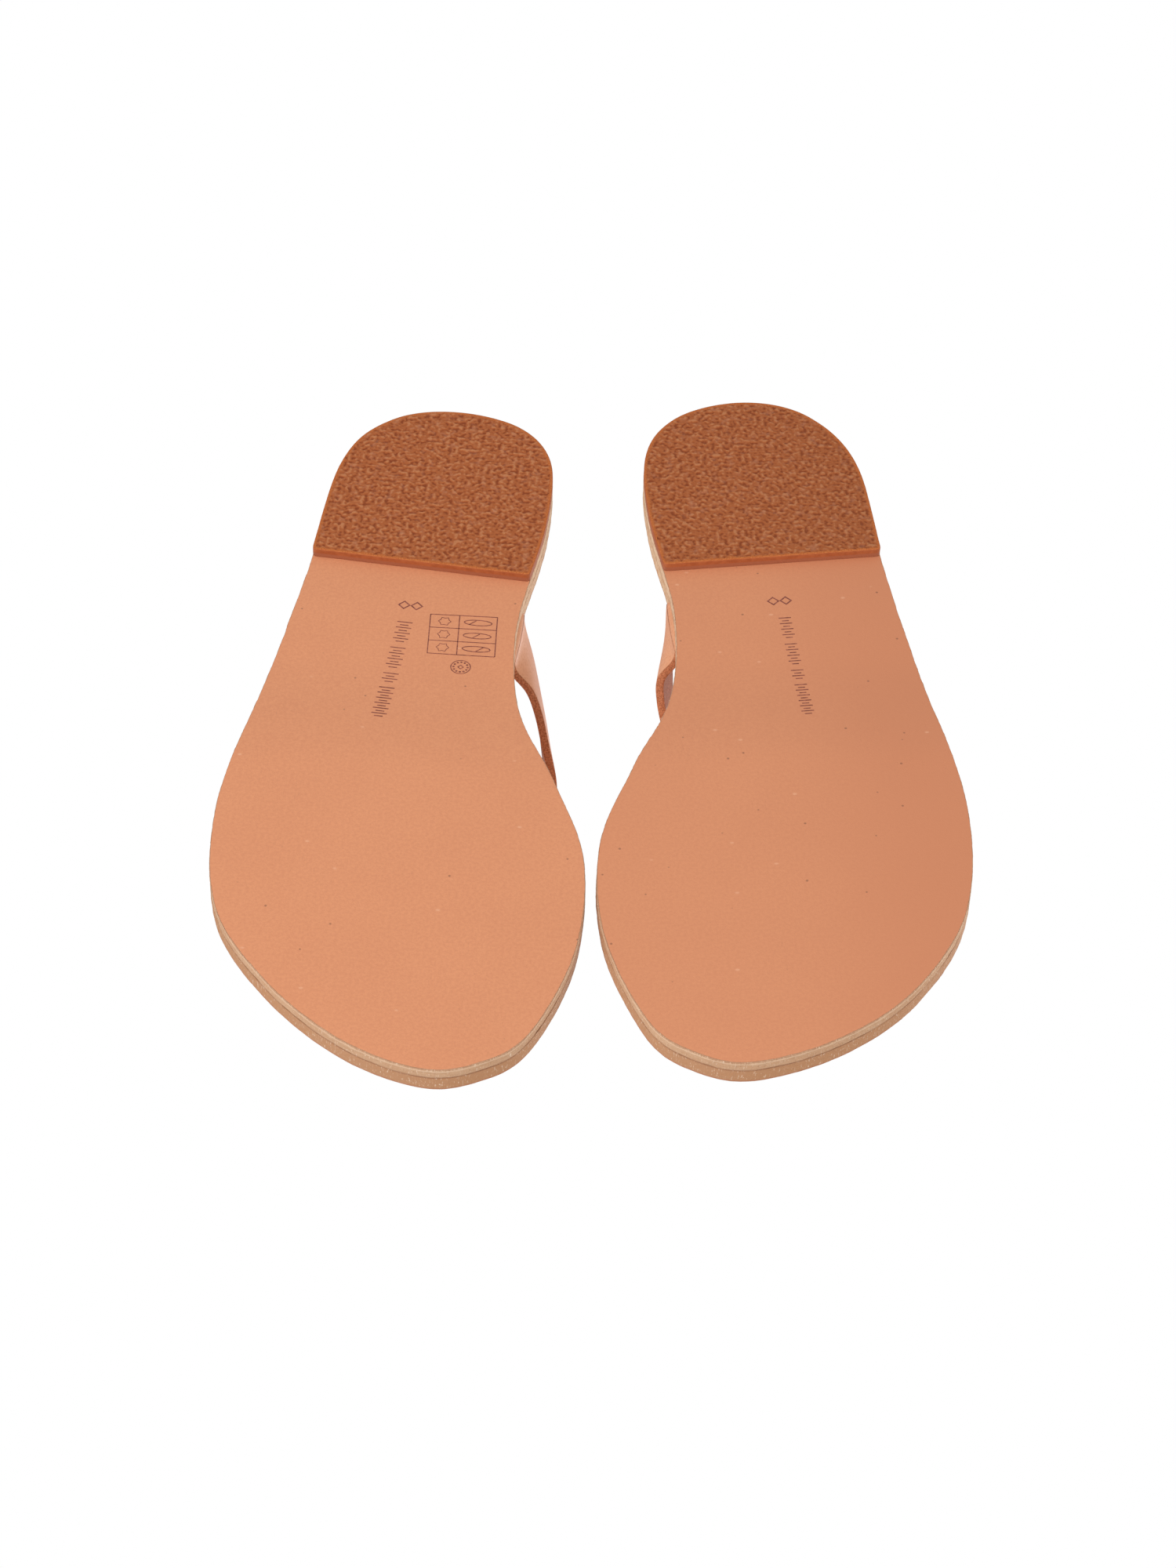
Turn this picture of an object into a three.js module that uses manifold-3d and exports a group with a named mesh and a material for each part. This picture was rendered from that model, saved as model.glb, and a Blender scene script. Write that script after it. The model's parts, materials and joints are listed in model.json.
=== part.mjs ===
// A pair of flat leather thong sandals, size EU 38, standing on the floor, toes towards -Y.
// Millimetres, +Z up. Each sandal is drawn in its own frame: "inward" is the distance towards
// the other sandal, "ahead" is the distance from the back of the heel towards the toe.
import * as THREE from 'three';
import { mergeVertices } from 'three/addons/utils/BufferGeometryUtils.js';
import Module from 'manifold-3d';

const wasm = await Module();
wasm.setup();

// ---- driving dimensions ----
const SOLE_LENGTH = 253.3;      // 38 Paris points of 6.667 mm
const OUTSOLE = 2.8;            // leather thicknesses
const FOOTBED = 4.4;
const PAD_THICKNESS = 2.5;      // rubber heel pad
const GAP = 0.3;                // clearance between touching pieces
const PAD_FRONT_INNER = 69.5;   // the pad's straight front edge, inner and outer end
const PAD_FRONT_OUTER = 65.4;
const PAD_FRONT_SPAN = 61;      // width over which the pad's edge slants
const RAMP_START = 106;         // the sole comes down from pad height to the floor here
const RAMP_END = 150;
const RAMP_STEPS = 10;
const BALL_LINE = 176;          // where the sole bends when walking
const HEEL_BACK = -10;          // cutting limits just outside the outline
const TOE_TIP = 265;
const OUTLINE_STEPS = 120;
const CUTTER = 90;              // half width of a cutting block, wider than any sandal
const OVERCUT = 1;              // how far a cut runs past the face that it opens
const WELD = 1e-4;              // vertices nearer than this are one vertex

const STRAP = 2.2;              // strap leather thickness
const TAB = 1.2;                // skived strap ends between the sole layers
const TAB_LENGTH = 17;
const STRAP_STEPS = 6;          // solids along each stretch between two stations
const ARM_END = 7;              // stations where the arm, its bridge and the front part meet
const FRONT_START = 8.6;
const END_CLEARANCE = 0.02;     // in stations, about 0.3 mm
const SHORT_STEP = 1e-3;        // of the whole arm, for finding its direction

const POST_INWARD = 19;         // centre of the toe post
const POST_WIDTH = 8;
const POST_THICKNESS = 3.4;
const LOOP_LEATHER = 1.7;
const LOOP_BACK = 191.2;        // outer faces of the toe loop
const LOOP_FRONT = 208.1;
const APEX_HEIGHT = 21;         // middle of the strap leather where the loop holds it
const LOOP_CLEARANCE = 0.5;
const TAPER_BOTTOM = 11.5;      // height where the loop's two legs have closed to the post
const CREASE_ROUNDING = 0.3;    // how far the fold's outer corners are broken, over the leather
const SLIT_CLEARANCE = 0.4;     // round the loop's rear leg in the strap
const FOOT_LENGTH = 10;         // each half of the post's foot under the footbed

const HEEL_LIFT = PAD_THICKNESS + GAP;
const FOOTBED_BASE = OUTSOLE + GAP;

// outline of the sole, [inward, ahead], round from the back of the heel
const OUTLINE = [
  [0, 0], [19, 5.5], [29.5, 21], [31, 48], [27, 88], [31, 122], [43, 150],
  [53.5, 178], [54.5, 210], [45.5, 239], [34, 250], [20, SOLE_LENGTH],
  [-1, 246], [-22, 229], [-38, 204], [-43, 168], [-38, 120], [-33, 72], [-29.5, 28], [-17.5, 6.5],
];

// strap edges at matching stations, [inward, ahead, height, flare]; flare is the extra
// distance that the arm bows towards the other sandal when the strap stands open, and back over
// the foot when it leans in
const INNER_ARM = {
  rear: [
    [27.0, 77, 5.9, 0], [27.2, 77.5, 11, 0], [28.0, 80.5, 21, 2], [28.7, 85, 31, 3.9],
    [29.8, 93, 39.5, 5.5], [30.3, 106, 45, 7.1], [28.9, 123, 46, 7.1], [24.5, 142, 42.5, 6],
    [21.5, 163, 34, 3.5], [16.5, 181, 25.2, 1], [13.9, 192, 21, 0], [14, 199, 21, 0], [14, 206, 21, 0],
  ],
  front: [
    [26.0, 97, 5.9, 0], [27.0, 97.8, 11, 0], [31.3, 100, 15.5, 0.4], [32.2, 102.5, 21.5, 2.3],
    [31.8, 107, 28.5, 5.1], [31.8, 116.5, 34.5, 8.3], [31.3, 131, 36, 9.3], [30.2, 150, 33.6, 7.5],
    [29.2, 171, 28, 4], [27.3, 186, 23, 1.2], [25.0, 194, 21, 0], [24.2, 200, 21, 0], [24, 206, 21, 0],
  ],
};
const OUTER_ARM = {
  rear: [
    [-33.1, 84, 5.9, 0], [-33.1, 84.5, 11, 0], [-33.2, 87, 20, 0], [-32, 92, 29, 0],
    [-28.5, 101, 36.5, 0], [-22.5, 114, 40.5, 0], [-15, 129, 40.5, 0], [-6, 145, 37.5, 0],
    [4.5, 162, 31.5, 0], [15.5, 180, 24.8, 0], [23.4, 192, 21, 0], [24, 199, 21, 0], [24, 206, 21, 0],
  ],
  front: [
    [-35.3, 104, 5.9, 0], [-35.3, 104.5, 11, 0], [-35.4, 107, 16, 0], [-34.6, 112, 21.5, 0],
    [-31.8, 119.5, 26.5, 0], [-26.5, 130, 30, 0], [-19.5, 142.5, 31.5, 0], [-11, 157, 30.8, 0],
    [-1.6, 172, 27.6, 0], [6.8, 186, 23.2, 0], [12.2, 194, 21, 0], [13.8, 200, 21, 0], [14, 206, 21, 0],
  ],
};

// the two sandals: which way "inward" points, where the heel stands, how far the toe turns
// (degrees) and how far the inner arm stands open or, below zero, leans in
const SANDALS = [
  { name: 'left', inwardX: -1, heelX: 41.7, heelY: 0, turn: 3.84, flare: 1 },
  { name: 'right', inwardX: 1, heelX: -41.7, heelY: 6.7, turn: -4.85, flare: -0.4 },
];

// ---- solids ----
function facingOut(geometry) {
  const position = geometry.attributes.position;
  const index = geometry.index.array;
  const corner = (i) => new THREE.Vector3().fromBufferAttribute(position, index[i]);
  let volume = 0;
  for (let i = 0; i < index.length; i += 3) {
    volume += corner(i).dot(corner(i + 1).cross(corner(i + 2)));
  }
  if (volume < 0) {
    for (let i = 0; i < index.length; i += 3) {
      [index[i + 1], index[i + 2]] = [index[i + 2], index[i + 1]];
    }
  }
  return geometry;
}

function solidOf(geometry) {
  geometry.deleteAttribute('normal');
  geometry.deleteAttribute('uv');
  const merged = facingOut(mergeVertices(geometry, WELD));
  return new wasm.Manifold(new wasm.Mesh({
    numProp: 3,
    vertProperties: new Float32Array(merged.attributes.position.array),
    triVerts: new Uint32Array(merged.index.array),
  }));
}

function geometryOf(solid) {
  const mesh = solid.getMesh();
  const geometry = new THREE.BufferGeometry();
  geometry.setAttribute('position', new THREE.BufferAttribute(new Float32Array(mesh.vertProperties), 3));
  geometry.setIndex(new THREE.BufferAttribute(new Uint32Array(mesh.triVerts), 1));
  geometry.computeVertexNormals();
  return geometry;
}

// a flat shape pushed up from one height to another
function upright(shape, low, high) {
  const geometry = new THREE.ExtrudeGeometry(shape, { depth: high - low, bevelEnabled: false });
  return solidOf(geometry.translate(0, 0, low));
}

// a side profile drawn as [ahead, height], spread across the sandal between two inward distances
function acrossSandal(sandal, profile, from, to) {
  const shape = new THREE.Shape(profile.map(([ahead, height]) => new THREE.Vector2(-ahead, height)));
  const geometry = new THREE.ExtrudeGeometry(shape, { depth: to - from, bevelEnabled: false });
  const basis = new THREE.Matrix4().makeBasis(
    new THREE.Vector3(0, 1, 0), new THREE.Vector3(0, 0, 1), new THREE.Vector3(1, 0, 0));
  geometry.applyMatrix4(basis);
  return solidOf(geometry.translate(sandal.inwardX > 0 ? from : -to, 0, 0));
}

function block(sandal, inward, ahead, height) {
  const geometry = new THREE.BoxGeometry(inward[1] - inward[0], ahead[1] - ahead[0], height[1] - height[0]);
  const x = sandal.inwardX * (inward[0] + inward[1]) / 2;
  return solidOf(geometry.translate(x, -(ahead[0] + ahead[1]) / 2, (height[0] + height[1]) / 2));
}

// ---- sole ----
function outlineShape(sandal) {
  const points = OUTLINE.map(([inward, ahead]) => new THREE.Vector3(sandal.inwardX * inward, -ahead, 0));
  const curve = new THREE.CatmullRomCurve3(points, true, 'catmullrom', 0.5);
  const around = curve.getPoints(OUTLINE_STEPS).slice(0, -1);
  return new THREE.Shape(around.map((point) => new THREE.Vector2(point.x, point.y)));
}

// height of the outsole's lower face: level over the heel pad, then a smooth ramp to the floor
function lift(ahead) {
  const t = THREE.MathUtils.smoothstep(ahead, RAMP_START, RAMP_END);
  return HEEL_LIFT * (1 - t);
}

// one layer of sole leather between two distances from the heel
function soleLayer(sandal, base, thickness, from, to) {
  const stations = [from];
  for (let i = 0; i <= RAMP_STEPS; i += 1) {
    const ahead = RAMP_START + (RAMP_END - RAMP_START) * i / RAMP_STEPS;
    if (ahead > from && ahead < to) stations.push(ahead);
  }
  stations.push(to);
  const lower = stations.map((ahead) => [ahead, base + lift(ahead)]);
  const upper = stations.map((ahead) => [ahead, base + thickness + lift(ahead)]).reverse();
  const slab = acrossSandal(sandal, [...lower, ...upper], -CUTTER, CUTTER);
  return slab.intersect(upright(outlineShape(sandal), -OVERCUT, CUTTER));
}

function heelPad(sandal) {
  const slope = (PAD_FRONT_INNER - PAD_FRONT_OUTER) / PAD_FRONT_SPAN;
  const middle = (PAD_FRONT_INNER + PAD_FRONT_OUTER) / 2;
  const half = sandal.inwardX * CUTTER;
  const behind = new THREE.Shape([
    new THREE.Vector2(-half, -HEEL_BACK),
    new THREE.Vector2(half, -HEEL_BACK),
    new THREE.Vector2(half, -(middle + slope * CUTTER)),
    new THREE.Vector2(-half, -(middle - slope * CUTTER)),
  ]);
  return upright(outlineShape(sandal), 0, PAD_THICKNESS).intersect(upright(behind, -OVERCUT, CUTTER));
}

function outsole(sandal, from, to) {
  return soleLayer(sandal, 0, OUTSOLE, from, to);
}

// the rear half of the footbed, notched at both edges for the strap arms and hollowed
// underneath for their skived tabs
function footbedRear(sandal) {
  let solid = soleLayer(sandal, FOOTBED_BASE, FOOTBED, HEEL_BACK, BALL_LINE - GAP / 2);
  const base = FOOTBED_BASE + HEEL_LIFT;
  for (const [arm, out] of [[INNER_ARM, 1], [OUTER_ARM, -1]]) {
    const ahead = [arm.rear[0][1] - 2 * GAP, arm.front[0][1] + 2 * GAP];
    const edge = Math.min(Math.abs(arm.rear[0][0]), Math.abs(arm.front[0][0]));
    const inside = edge - STRAP / 2 - 2 * GAP;
    const spans = (near, far) => (out > 0 ? [near, far] : [-far, -near]);
    solid = solid.subtract(block(sandal, spans(inside, CUTTER), ahead, [0, CUTTER]));
    const pocket = spans(edge - TAB_LENGTH - GAP, CUTTER);
    solid = solid.subtract(block(sandal, pocket, ahead, [base - OVERCUT, base + TAB + GAP]));
  }
  return solid;
}

// the front half of the footbed, with the toe post's slot and the pocket for its foot
function footbedForepart(sandal) {
  const middle = (LOOP_BACK + LOOP_FRONT) / 2;
  const inward = [POST_INWARD - POST_WIDTH / 2 - GAP, POST_INWARD + POST_WIDTH / 2 + GAP];
  const slot = POST_THICKNESS / 2 + GAP;
  const pocket = FOOT_LENGTH + GAP;
  const layer = soleLayer(sandal, FOOTBED_BASE, FOOTBED, BALL_LINE + GAP / 2, TOE_TIP);
  return layer
    .subtract(block(sandal, inward, [middle - slot, middle + slot], [0, CUTTER]))
    .subtract(block(sandal, inward, [middle - pocket, middle + pocket], [0, FOOTBED_BASE + TAB + GAP]));
}

// ---- strap ----
function edgeCurve(sandal, stations) {
  const points = stations.map(([inward, ahead, height, flare]) => (
    new THREE.Vector3(sandal.inwardX * (inward + sandal.flare * flare), -ahead, height)));
  return new THREE.CatmullRomCurve3(points, false, 'catmullrom', 0.5);
}

// a flat strip bent so that its two long edges follow the arm's rear and front edge
function strip(sandal, arm, from, to) {
  const rear = edgeCurve(sandal, arm.rear);
  const front = edgeCurve(sandal, arm.front);
  const last = arm.rear.length - 1;
  const steps = Math.round((to - from) * STRAP_STEPS);
  const geometry = new THREE.BoxGeometry(1, 1, 1, 2, 1, steps);
  const position = geometry.attributes.position;
  const middleAt = (t) => rear.getPoint(t).lerp(front.getPoint(t), 0.5);
  for (let i = 0; i < position.count; i += 1) {
    const across = position.getX(i) + 0.5;
    const t = (from + (to - from) * (position.getZ(i) + 0.5)) / last;
    const a = rear.getPoint(t);
    const b = front.getPoint(t);
    const along = middleAt(Math.min(t + SHORT_STEP, 1)).sub(middleAt(Math.max(t - SHORT_STEP, 0)));
    const normal = along.cross(b.clone().sub(a)).normalize();
    const point = a.lerp(b, across).addScaledVector(normal, position.getY(i) * STRAP);
    position.setXYZ(i, point.x, point.y, point.z);
  }
  return solidOf(geometry);
}

// an arm with its skived tab turned in under the footbed
function strapArm(sandal, arm, out) {
  const [rearFoot, frontFoot] = [arm.rear[0], arm.front[0]];
  const edge = Math.min(Math.abs(rearFoot[0]), Math.abs(frontFoot[0]));
  const inward = out > 0 ? [edge - TAB_LENGTH, edge + GAP] : [-edge - GAP, -edge + TAB_LENGTH];
  const base = FOOTBED_BASE + HEEL_LIFT;
  const tab = block(sandal, inward, [rearFoot[1] + GAP, frontFoot[1] - GAP], [base, base + TAB]);
  return strip(sandal, arm, 0, ARM_END).add(tab);
}

function strapBridge(sandal, arm) {
  return strip(sandal, arm, ARM_END + END_CLEARANCE, FRONT_START - END_CLEARANCE);
}

// the front of the strap, where both arms run together, slit for the toe loop's rear leg
function strapFront(sandal) {
  const last = INNER_ARM.rear.length - 1;
  const slitWidth = POST_WIDTH / 2 + SLIT_CLEARANCE;
  const slit = block(
    sandal,
    [POST_INWARD - slitWidth, POST_INWARD + slitWidth],
    [LOOP_BACK - SLIT_CLEARANCE, LOOP_BACK + LOOP_LEATHER + SLIT_CLEARANCE],
    [0, CUTTER]);
  return strip(sandal, INNER_ARM, FRONT_START, last)
    .add(strip(sandal, OUTER_ARM, FRONT_START, last))
    .subtract(slit);
}

// a leather strip folded round the front of the strap, its legs closed into the toe post,
// its ends turned out as a foot under the footbed
function toeLoop(sandal) {
  const middle = (LOOP_BACK + LOOP_FRONT) / 2;
  const half = POST_THICKNESS / 2;
  const under = APEX_HEIGHT - STRAP / 2 - LOOP_CLEARANCE;
  const over = APEX_HEIGHT + STRAP / 2 + LOOP_CLEARANCE;
  const corner = LOOP_LEATHER;
  const rounding = corner * CREASE_ROUNDING;
  const footTop = FOOTBED_BASE + TAB;
  const rearSide = [
    [LOOP_BACK + corner, over + LOOP_LEATHER],
    [LOOP_BACK + rounding, over + LOOP_LEATHER - rounding],
    [LOOP_BACK, over + LOOP_LEATHER - corner],
    [LOOP_BACK, under], [middle - half, TAPER_BOTTOM], [middle - half, footTop],
    [middle - FOOT_LENGTH, footTop], [middle - FOOT_LENGTH, FOOTBED_BASE],
  ];
  const frontSide = rearSide.map(([ahead, height]) => [2 * middle - ahead, height]).reverse();
  const inward = [POST_INWARD - POST_WIDTH / 2, POST_INWARD + POST_WIDTH / 2];
  const eye = block(
    sandal,
    [inward[0] - OVERCUT, inward[1] + OVERCUT],
    [LOOP_BACK + LOOP_LEATHER, LOOP_FRONT - LOOP_LEATHER],
    [under, over]);
  return acrossSandal(sandal, [...rearSide, ...frontSide], ...inward).subtract(eye);
}

// ---- materials ----
function leather(color) {
  return new THREE.MeshStandardMaterial({ color, roughness: 0.7, metalness: 0 });
}

function rubber() {
  return new THREE.MeshStandardMaterial({ color: '#a5623c', roughness: 0.85, metalness: 0 });
}

const OUTSOLE_TAN = '#d7926c';
const FOOTBED_TAN = '#dca078';
const STRAP_TAN = '#dca087';

// ---- assembly ----
function buildSandal(sandal) {
  const group = new THREE.Group();
  const addPiece = (name, solid, material) => {
    const mesh = new THREE.Mesh(geometryOf(solid), material);
    mesh.name = `${sandal.name}_${name}`;
    group.add(mesh);
  };
  addPiece('heel_pad', heelPad(sandal), rubber());
  addPiece('outsole_rear', outsole(sandal, HEEL_BACK, BALL_LINE - GAP / 2), leather(OUTSOLE_TAN));
  addPiece('outsole_forepart', outsole(sandal, BALL_LINE + GAP / 2, TOE_TIP), leather(OUTSOLE_TAN));
  addPiece('footbed_rear', footbedRear(sandal), leather(FOOTBED_TAN));
  addPiece('footbed_forepart', footbedForepart(sandal), leather(FOOTBED_TAN));
  addPiece('strap_inner_arm', strapArm(sandal, INNER_ARM, 1), leather(STRAP_TAN));
  addPiece('strap_outer_arm', strapArm(sandal, OUTER_ARM, -1), leather(STRAP_TAN));
  addPiece('strap_inner_bridge', strapBridge(sandal, INNER_ARM), leather(STRAP_TAN));
  addPiece('strap_outer_bridge', strapBridge(sandal, OUTER_ARM), leather(STRAP_TAN));
  addPiece('strap_front', strapFront(sandal), leather(STRAP_TAN));
  addPiece('toe_loop', toeLoop(sandal), leather(STRAP_TAN));
  group.position.set(sandal.heelX, sandal.heelY, 0);
  group.rotation.z = THREE.MathUtils.degToRad(sandal.turn);
  return group;
}

const pair = new THREE.Group();
for (const sandal of SANDALS) {
  pair.add(buildSandal(sandal));
}

// the origin is on the floor, in the middle of the pair
pair.updateMatrixWorld(true);
const middle = new THREE.Box3().setFromObject(pair, true).getCenter(new THREE.Vector3());
pair.position.set(-middle.x, -middle.y, 0);
pair.updateMatrixWorld(true);

export default pair;
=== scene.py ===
"""A pair of flat leather thong sandals: the looks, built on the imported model's frame.

Shapes are worked out in millimetres in each sandal's own frame (u towards the other sandal, v from
the back of the heel towards the toe, z up) and placed in the row frame, in metres, by Sandal.world.
"""

import json
import math
import random

import bmesh
import bpy
import numpy as np
from mathutils import Matrix, Vector, noise
from mathutils.geometry import delaunay_2d_cdt
from mathutils.kdtree import KDTree


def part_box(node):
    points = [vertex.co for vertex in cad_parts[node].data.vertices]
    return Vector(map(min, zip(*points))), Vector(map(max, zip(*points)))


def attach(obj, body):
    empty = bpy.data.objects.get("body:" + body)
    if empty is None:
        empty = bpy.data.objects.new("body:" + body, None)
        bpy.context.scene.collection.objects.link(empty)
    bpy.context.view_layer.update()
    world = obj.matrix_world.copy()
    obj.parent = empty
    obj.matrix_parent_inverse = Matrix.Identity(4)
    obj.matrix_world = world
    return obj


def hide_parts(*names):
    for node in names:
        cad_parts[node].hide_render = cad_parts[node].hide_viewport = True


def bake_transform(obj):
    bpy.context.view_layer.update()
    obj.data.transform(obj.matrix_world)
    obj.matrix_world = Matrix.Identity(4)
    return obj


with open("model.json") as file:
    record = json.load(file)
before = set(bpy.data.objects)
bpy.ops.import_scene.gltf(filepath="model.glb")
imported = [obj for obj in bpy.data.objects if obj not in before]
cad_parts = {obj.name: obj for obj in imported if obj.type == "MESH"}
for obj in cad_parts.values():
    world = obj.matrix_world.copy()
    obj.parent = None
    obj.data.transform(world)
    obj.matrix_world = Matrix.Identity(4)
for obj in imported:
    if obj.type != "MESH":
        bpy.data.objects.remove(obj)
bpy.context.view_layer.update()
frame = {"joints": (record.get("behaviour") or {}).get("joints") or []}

MM = 0.001                      # metres in a millimetre


def height(node):
    """Lowest and highest point of a CAD node, in millimetres."""
    low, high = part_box(node)
    return low.z / MM, high.z / MM


# ---- sizes, in millimetres, from the frame or repeated from the CAD design ----
PAD_HEIGHT = height("left_heel_pad")[1]
OUTSOLE_LOW, OUTSOLE_HIGH = height("left_outsole_forepart")
FOOTBED_LOW, FOOTBED_HIGH = height("left_footbed_forepart")
HEEL_LIFT = height("left_outsole_rear")[1] - OUTSOLE_HIGH
BALL_LINE = 176                 # where the sole bends
BEND_BEHIND, BEND_AHEAD = 34, 18
RAMP_START, RAMP_END = 106, 150
SOLE_LENGTH = 253.3
OUTLINE = [
    (0, 0), (19, 5.5), (29.5, 21), (31, 48), (27, 88), (31, 122), (43, 150),
    (53.5, 178), (54.5, 210), (45.5, 239), (34, 250), (20, SOLE_LENGTH),
    (-1, 246), (-22, 229), (-38, 204), (-43, 168), (-38, 120), (-33, 72), (-29.5, 28), (-17.5, 6.5),
]
PAD_FRONT_MIDDLE, PAD_FRONT_SLOPE = 67.45, 4.1 / 61

STRAP = 2.2
INNER_ARM = {
    "rear": [
        (27.0, 77, 5.9, 0), (27.2, 77.5, 11, 0), (28.0, 80.5, 21, 2), (28.7, 85, 31, 3.9),
        (29.8, 93, 39.5, 5.5), (30.3, 106, 45, 7.1), (28.9, 123, 46, 7.1), (24.5, 142, 42.5, 6),
        (21.5, 163, 34, 3.5), (16.5, 181, 25.2, 1), (13.9, 192, 21, 0), (14, 199, 21, 0), (14, 206, 21, 0)],
    "front": [
        (26.0, 97, 5.9, 0), (27.0, 97.8, 11, 0), (31.3, 100, 15.5, 0.4), (32.2, 102.5, 21.5, 2.3),
        (31.8, 107, 28.5, 5.1), (31.8, 116.5, 34.5, 8.3), (31.3, 131, 36, 9.3), (30.2, 150, 33.6, 7.5),
        (29.2, 171, 28, 4), (27.3, 186, 23, 1.2), (25.0, 194, 21, 0), (24.2, 200, 21, 0), (24, 206, 21, 0)],
}
OUTER_ARM = {
    "rear": [
        (-33.1, 84, 5.9, 0), (-33.1, 84.5, 11, 0), (-33.2, 87, 20, 0), (-32, 92, 29, 0),
        (-28.5, 101, 36.5, 0), (-22.5, 114, 40.5, 0), (-15, 129, 40.5, 0), (-6, 145, 37.5, 0),
        (4.5, 162, 31.5, 0), (15.5, 180, 24.8, 0), (23.4, 192, 21, 0), (24, 199, 21, 0), (24, 206, 21, 0)],
    "front": [
        (-35.3, 104, 5.9, 0), (-35.3, 104.5, 11, 0), (-35.4, 107, 16, 0), (-34.6, 112, 21.5, 0),
        (-31.8, 119.5, 26.5, 0), (-26.5, 130, 30, 0), (-19.5, 142.5, 31.5, 0), (-11, 157, 30.8, 0),
        (-1.6, 172, 27.6, 0), (6.8, 186, 23.2, 0), (12.2, 194, 21, 0), (13.8, 200, 21, 0), (14, 206, 21, 0)],
}
POST_INWARD = 19                # the toe post
LOOP_WIDTH, LOOP_LEATHER = 8, 1.7
LOOP_MIDDLE, LOOP_HALF = 199.65, 8.45
APEX_HEIGHT = 21


# ---- camera, at the photograph's viewing angle: below the pair, looking up at the soles ----
CAMERA_PLACE = (0.001565, -0.76317, -0.7105)
CAMERA_PITCH, CAMERA_ROLL = 44.08, -1.79        # degrees
LENS, SENSOR = 90, 36


def aim_camera():
    pitch, roll = math.radians(CAMERA_PITCH), math.radians(CAMERA_ROLL)
    forward = Vector((0, math.cos(pitch), math.sin(pitch)))
    level_right = Vector((-1, 0, 0))
    level_up = level_right.cross(forward)
    right = level_right * math.cos(roll) - level_up * math.sin(roll)
    up = level_right * math.sin(roll) + level_up * math.cos(roll)
    data = bpy.data.cameras.new("camera")
    data.lens, data.sensor_width = LENS, SENSOR
    data.clip_start, data.clip_end = 0.05, 20
    camera = bpy.data.objects.new("camera", data)
    turn = Matrix((right, up, -forward)).transposed().to_4x4()
    camera.matrix_world = Matrix.Translation(CAMERA_PLACE) @ turn
    bpy.context.scene.collection.objects.link(camera)
    bpy.context.scene.camera = camera


aim_camera()


# ---- colours and shader graphs ----
def srgb(red, green, blue):
    """A colour given as 0 to 255 display values, as the linear RGBA that shaders take."""
    def linear(value):
        c = value / 255
        return c / 12.92 if c <= 0.04045 else ((c + 0.055) / 1.055) ** 2.4
    return (linear(red), linear(green), linear(blue), 1)


class Graph:
    """A material's node graph. Every pattern is laid out on the piece's stored rest place, in mm."""

    def __init__(self, name, **uniform):
        self.material = bpy.data.materials.new(name)
        self.material.use_nodes = True
        self.tree = self.material.node_tree
        self.shader = self.tree.nodes["Principled BSDF"]
        for socket, value in uniform.items():
            self.shader.inputs[socket.replace("_", " ")].default_value = value
        self.place = self.add("ShaderNodeAttribute", attribute_name="place").outputs["Vector"]

    def add(self, kind, **settings):
        node = self.tree.nodes.new(kind)
        for key, value in settings.items():
            setattr(node, key, value)
        return node

    def feed(self, socket, value):
        if isinstance(value, bpy.types.NodeSocket):
            self.tree.links.new(value, socket)
        else:
            socket.default_value = value

    def attribute(self, name):
        return self.add("ShaderNodeAttribute", attribute_name=name).outputs["Fac"]

    def math(self, operation, a, b=0.0):
        node = self.add("ShaderNodeMath", operation=operation)
        self.feed(node.inputs[0], a)
        self.feed(node.inputs[1], b)
        return node.outputs[0]

    def stretched(self, factors):
        node = self.add("ShaderNodeVectorMath", operation="MULTIPLY")
        self.feed(node.inputs[0], self.place)
        node.inputs[1].default_value = factors
        return node.outputs[0]

    def separate(self, vector, axis):
        node = self.add("ShaderNodeSeparateXYZ")
        self.feed(node.inputs[0], vector)
        return node.outputs[axis]

    def noise(self, per_mm, detail=3.0, rough=0.55, vector=None, distortion=0.0):
        node = self.add("ShaderNodeTexNoise")
        self.feed(node.inputs["Vector"], self.place if vector is None else vector)
        node.inputs["Scale"].default_value = per_mm
        node.inputs["Detail"].default_value = detail
        node.inputs["Roughness"].default_value = rough
        node.inputs["Distortion"].default_value = distortion
        return node.outputs["Fac"]

    def cells(self, per_mm, feature="F1", vector=None):
        node = self.add("ShaderNodeTexVoronoi", feature=feature)
        self.feed(node.inputs["Vector"], self.place if vector is None else vector)
        node.inputs["Scale"].default_value = per_mm
        return node.outputs["Distance"]

    def between(self, value, low, high):
        """0 below low, 1 above high; low may be the larger one."""
        node = self.add("ShaderNodeMapRange", interpolation_type="SMOOTHSTEP")
        self.feed(node.inputs["Value"], value)
        node.inputs["From Min"].default_value = low
        node.inputs["From Max"].default_value = high
        return node.outputs["Result"]

    def mix(self, share, a, b):
        """From colour a to colour b: the node's inputs 6 and 7."""
        node = self.add("ShaderNodeMix", data_type="RGBA")
        self.feed(node.inputs[0], share)
        self.feed(node.inputs[6], a)
        self.feed(node.inputs[7], b)
        return node.outputs[2]

    def lerp(self, share, a, b):
        node = self.add("ShaderNodeMix", data_type="FLOAT")
        self.feed(node.inputs[0], share)
        self.feed(node.inputs[2], a)
        self.feed(node.inputs[3], b)
        return node.outputs[0]

    def bump(self, value, depth_mm, below=None, strength=1.0):
        node = self.add("ShaderNodeBump")
        node.inputs["Strength"].default_value = strength
        node.inputs["Distance"].default_value = depth_mm * MM
        self.feed(node.inputs["Height"], value)
        if below is not None:
            self.feed(node.inputs["Normal"], below)
        return node.outputs["Normal"]

    def finish(self, color, roughness, normal):
        self.feed(self.shader.inputs["Base Color"], color)
        self.feed(self.shader.inputs["Roughness"], roughness)
        self.feed(self.shader.inputs["Normal"], normal)
        return self.material


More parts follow.
